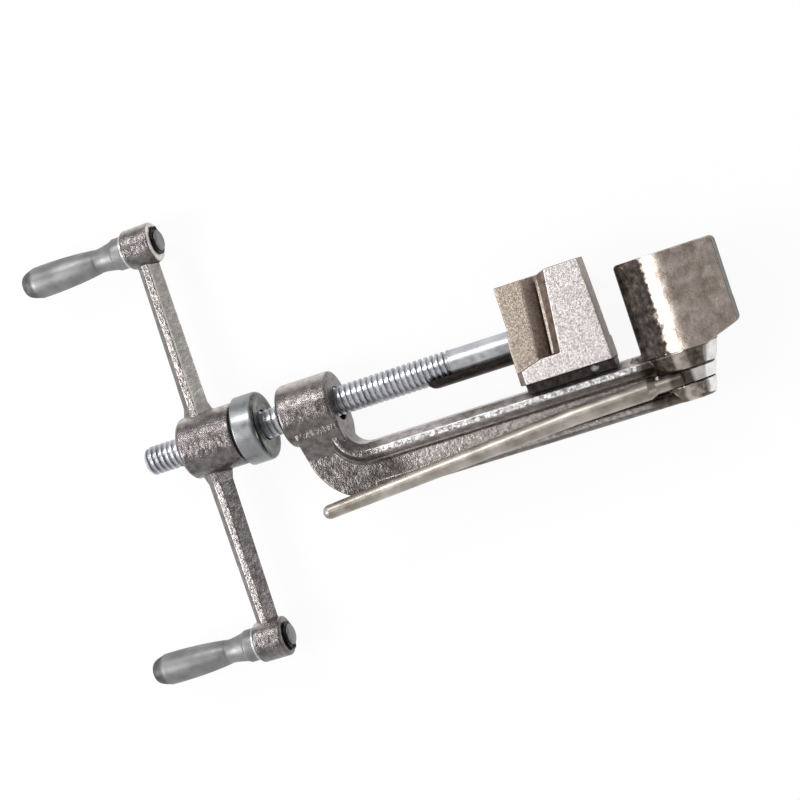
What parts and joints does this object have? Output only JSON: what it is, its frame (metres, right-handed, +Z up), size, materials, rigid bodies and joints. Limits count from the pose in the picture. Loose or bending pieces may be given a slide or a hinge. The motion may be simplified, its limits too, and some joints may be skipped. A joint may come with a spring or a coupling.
{
  "type": "screw banding tool",
  "caption": "Screw-type hand banding tool: C-shaped cast frame with slotted nose and rotary cutter, pulling screw with two-handled crank, thrust bearing and slider block.",
  "frame": {"origin": "on the surface the tool lies on, under the middle of its plan outline; the screw's axis crosses it 19.3 mm up", "axes": "+X along the screw, from the crank's grips to the nose; +Y from the beam towards the open side of the C; +Z up, out of the side that shows the cutting lever"},
  "size_m": [0.3706, 0.2504, 0.0407],
  "materials": {
    "plated_casting": "nickel-plated sand-cast steel",
    "crank_casting": "nickel-plated sand-cast steel",
    "zinc_steel": "zinc-plated turned steel",
    "grip_steel": "satin turned steel",
    "black_steel": "black oxide spring steel",
    "bearing_steel": "ground bearing steel",
    "seal_rubber": "black rubber",
    "dark_steel": "darkened steel",
    "lever_steel": "smooth nickel-plated forged steel"
  },
  "bodies": {
    "frame": {"frame_casting": "plated_casting"},
    "thrust_carriage": {"bearing_shell": "zinc_steel", "bearing_seal": "seal_rubber", "front_race": "bearing_steel"},
    "bearing_cage": {"ball_cage": "bearing_steel"},
    "crank": {"crank_casting": "crank_casting", "rear_race": "bearing_steel"},
    "upper_grip": {"upper_grip": "grip_steel", "upper_washer": "zinc_steel", "upper_ring": "black_steel"},
    "lower_grip": {"lower_grip": "grip_steel", "lower_washer": "zinc_steel", "lower_ring": "black_steel"},
    "screw_slider": {"tension_screw": "zinc_steel", "slider_block": "plated_casting", "shank_cradle": "dark_steel", "screw_pin": "dark_steel", "rail_keeper": "dark_steel", "keeper_rivet": "zinc_steel"},
    "cutter": {"rotary_cutter": "dark_steel", "cutter_lever": "lever_steel", "lever_pin": "dark_steel", "cutter_ring": "black_steel"}
  },
  "joints": [
    {"name": "carriage_slide", "type": "slide", "parent": "frame", "child": "thrust_carriage", "axis": [1, 0, 0], "range_m": [-0.01, 0.0085]},
    {"name": "crank_turn", "type": "hinge", "parent": "thrust_carriage", "child": "crank", "pos_m": [-0.11158, 0, 0.0193], "axis": [1, 0, 0], "range_deg": [-90, 9180]},
    {"name": "screw_pull", "type": "slide", "parent": "thrust_carriage", "child": "screw_slider", "axis": [1, 0, 0], "range_m": [-0.081, 0.0008]},
    {"name": "cage_turn", "type": "hinge", "parent": "thrust_carriage", "child": "bearing_cage", "pos_m": [-0.0825, 0, 0.0193], "axis": [1, 0, 0], "range_deg": [-45, 4590]},
    {"name": "upper_grip_spin", "type": "hinge", "parent": "crank", "child": "upper_grip", "pos_m": [-0.12058, 0.114, 0.0193], "axis": [1, 0, 0], "continuous": true},
    {"name": "lower_grip_spin", "type": "hinge", "parent": "crank", "child": "lower_grip", "pos_m": [-0.12058, -0.114, 0.0193], "axis": [1, 0, 0], "continuous": true},
    {"name": "cutter_swing", "type": "hinge", "parent": "frame", "child": "cutter", "pos_m": [0.15128, 0, 0.0193], "axis": [0, 1, 0], "range_deg": [0, 100]}
  ],
  "couplings": [
    {"joint": "screw_pull", "follows": "crank_turn", "m_per_rad": -0.00050532},
    {"joint": "cage_turn", "follows": "crank_turn", "ratio": 0.5}
  ]
}
